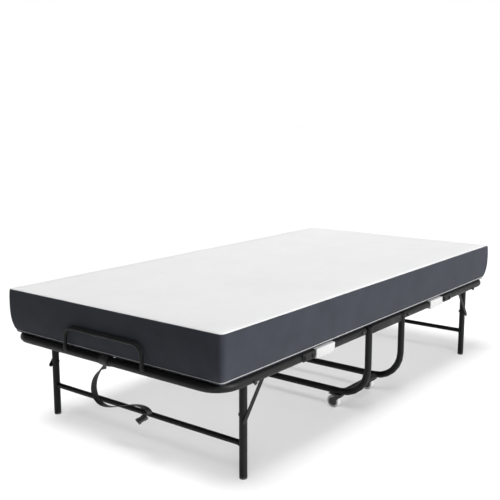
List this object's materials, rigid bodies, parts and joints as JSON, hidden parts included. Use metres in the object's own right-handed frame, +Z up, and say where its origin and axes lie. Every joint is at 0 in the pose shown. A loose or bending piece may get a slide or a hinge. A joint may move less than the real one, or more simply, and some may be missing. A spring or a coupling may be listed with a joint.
{
  "type": "rollaway bed",
  "caption": "Folding guest bed: steel slatted deck with mattress, hinged to a caster base, folding legs at each end and a foot-end retainer bar.",
  "frame": {"origin": "on the floor, under the middle of the open bed's bounding box", "axes": "+Z up, X along the bed with the foot end at -X and the head end at +X, Y across the bed"},
  "size_m": [1.9206, 0.9684, 0.4875],
  "materials": {
    "frame_black": "satin powder coat",
    "sleeve_white": "moulded",
    "mattress_fabric": "woven border cloth with a white top panel",
    "zinc": "zinc plated",
    "wheel_white": "satin",
    "plastic_dark": "moulded",
    "webbing_black": "woven webbing"
  },
  "bodies": {
    "base": {"base_tube_foot": "frame_black", "base_tube_head": "frame_black", "base_crossbar_near": "frame_black", "base_crossbar_far": "frame_black", "centre_rail_near": "frame_black", "centre_rail_far": "frame_black", "centre_slats": "frame_black", "pivot_bolt_foot_near": "zinc", "pivot_bolt_foot_far": "zinc", "pivot_bolt_head_near": "zinc", "pivot_bolt_head_far": "zinc", "mattress_middle": "mattress_fabric"},
    "foot_deck": {"foot_end_frame": "frame_black", "foot_inner_rail_near": "frame_black", "foot_inner_rail_far": "frame_black", "foot_sleeve_near": "sleeve_white", "foot_sleeve_far": "sleeve_white", "foot_bracket_near": "frame_black", "foot_bracket_far": "frame_black", "foot_outer_slats": "frame_black", "foot_inner_slats": "frame_black", "foot_leg_shaft": "zinc", "mattress_foot": "mattress_fabric", "mattress_retainer": "frame_black", "storage_strap": "webbing_black", "strap_buckle": "plastic_dark"},
    "foot_leg": {"foot_leg_frame": "frame_black", "foot_leg_plug_near": "plastic_dark", "foot_leg_plug_far": "plastic_dark"},
    "foot_braces": {"foot_brace_near": "frame_black", "foot_brace_far": "frame_black"},
    "head_deck": {"head_end_frame": "frame_black", "head_inner_rail_near": "frame_black", "head_inner_rail_far": "frame_black", "head_sleeve_near": "sleeve_white", "head_sleeve_far": "sleeve_white", "head_bracket_near": "frame_black", "head_bracket_far": "frame_black", "head_outer_slats": "frame_black", "head_inner_slats": "frame_black", "head_leg_shaft": "zinc", "mattress_head": "mattress_fabric"},
    "head_leg": {"head_leg_frame": "frame_black", "head_leg_plug_near": "plastic_dark", "head_leg_plug_far": "plastic_dark"},
    "head_braces": {"head_brace_near": "frame_black", "head_brace_far": "frame_black"},
    "caster_foot_near": {"fork_foot_near": "plastic_dark"},
    "wheel_foot_near": {"hub_foot_near": "plastic_dark", "tyre_foot_near": "wheel_white"},
    "caster_foot_far": {"fork_foot_far": "plastic_dark"},
    "wheel_foot_far": {"hub_foot_far": "plastic_dark", "tyre_foot_far": "wheel_white"},
    "caster_head_near": {"fork_head_near": "plastic_dark"},
    "wheel_head_near": {"hub_head_near": "plastic_dark", "tyre_head_near": "wheel_white"},
    "caster_head_far": {"fork_head_far": "plastic_dark"},
    "wheel_head_far": {"hub_head_far": "plastic_dark", "tyre_head_far": "wheel_white"}
  },
  "joints": [
    {"name": "foot_deck_fold", "type": "hinge", "parent": "base", "child": "foot_deck", "pos_m": [-0.16415, 0, 0.319], "axis": [0, 1, 0], "range_deg": [0, 90], "deforming": ["mattress_middle"]},
    {"name": "foot_leg_fold", "type": "hinge", "parent": "foot_deck", "child": "foot_leg", "pos_m": [-0.78915, 0, 0.3095], "axis": [0, -1, 0], "range_deg": [0, 90]},
    {"name": "foot_brace_fold", "type": "hinge", "parent": "foot_leg", "child": "foot_braces", "pos_m": [-0.78915, 0, 0.1995], "axis": [0, 1, 0], "range_deg": [0, 142]},
    {"name": "head_deck_fold", "type": "hinge", "parent": "base", "child": "head_deck", "pos_m": [0.17985, 0, 0.319], "axis": [0, -1, 0], "range_deg": [0, 90], "deforming": ["mattress_middle"]},
    {"name": "head_leg_fold", "type": "hinge", "parent": "head_deck", "child": "head_leg", "pos_m": [0.80485, 0, 0.3095], "axis": [0, 1, 0], "range_deg": [0, 90]},
    {"name": "head_brace_fold", "type": "hinge", "parent": "head_leg", "child": "head_braces", "pos_m": [0.80485, 0, 0.1995], "axis": [0, -1, 0], "range_deg": [0, 142]},
    {"name": "caster_foot_near_swivel", "type": "hinge", "parent": "base", "child": "caster_foot_near", "pos_m": [-0.11715, -0.354, 0.05], "axis": [0, 0, 1], "continuous": true},
    {"name": "wheel_foot_near_spin", "type": "hinge", "parent": "caster_foot_near", "child": "wheel_foot_near", "pos_m": [-0.11715, -0.331, 0.0245], "axis": [1, 0, 0], "continuous": true},
    {"name": "caster_foot_far_swivel", "type": "hinge", "parent": "base", "child": "caster_foot_far", "pos_m": [-0.11715, 0.354, 0.05], "axis": [0, 0, 1], "continuous": true},
    {"name": "wheel_foot_far_spin", "type": "hinge", "parent": "caster_foot_far", "child": "wheel_foot_far", "pos_m": [-0.11715, 0.377, 0.0245], "axis": [1, 0, 0], "continuous": true},
    {"name": "caster_head_near_swivel", "type": "hinge", "parent": "base", "child": "caster_head_near", "pos_m": [0.13285, -0.354, 0.05], "axis": [0, 0, 1], "continuous": true},
    {"name": "wheel_head_near_spin", "type": "hinge", "parent": "caster_head_near", "child": "wheel_head_near", "pos_m": [0.13285, -0.331, 0.0245], "axis": [1, 0, 0], "continuous": true},
    {"name": "caster_head_far_swivel", "type": "hinge", "parent": "base", "child": "caster_head_far", "pos_m": [0.13285, 0.354, 0.05], "axis": [0, 0, 1], "continuous": true},
    {"name": "wheel_head_far_spin", "type": "hinge", "parent": "caster_head_far", "child": "wheel_head_far", "pos_m": [0.13285, 0.377, 0.0245], "axis": [1, 0, 0], "continuous": true}
  ],
  "couplings": [
    {"joint": "foot_brace_fold", "follows": "foot_leg_fold", "ratio": 1.5776},
    {"joint": "head_brace_fold", "follows": "head_leg_fold", "ratio": 1.5776}
  ]
}
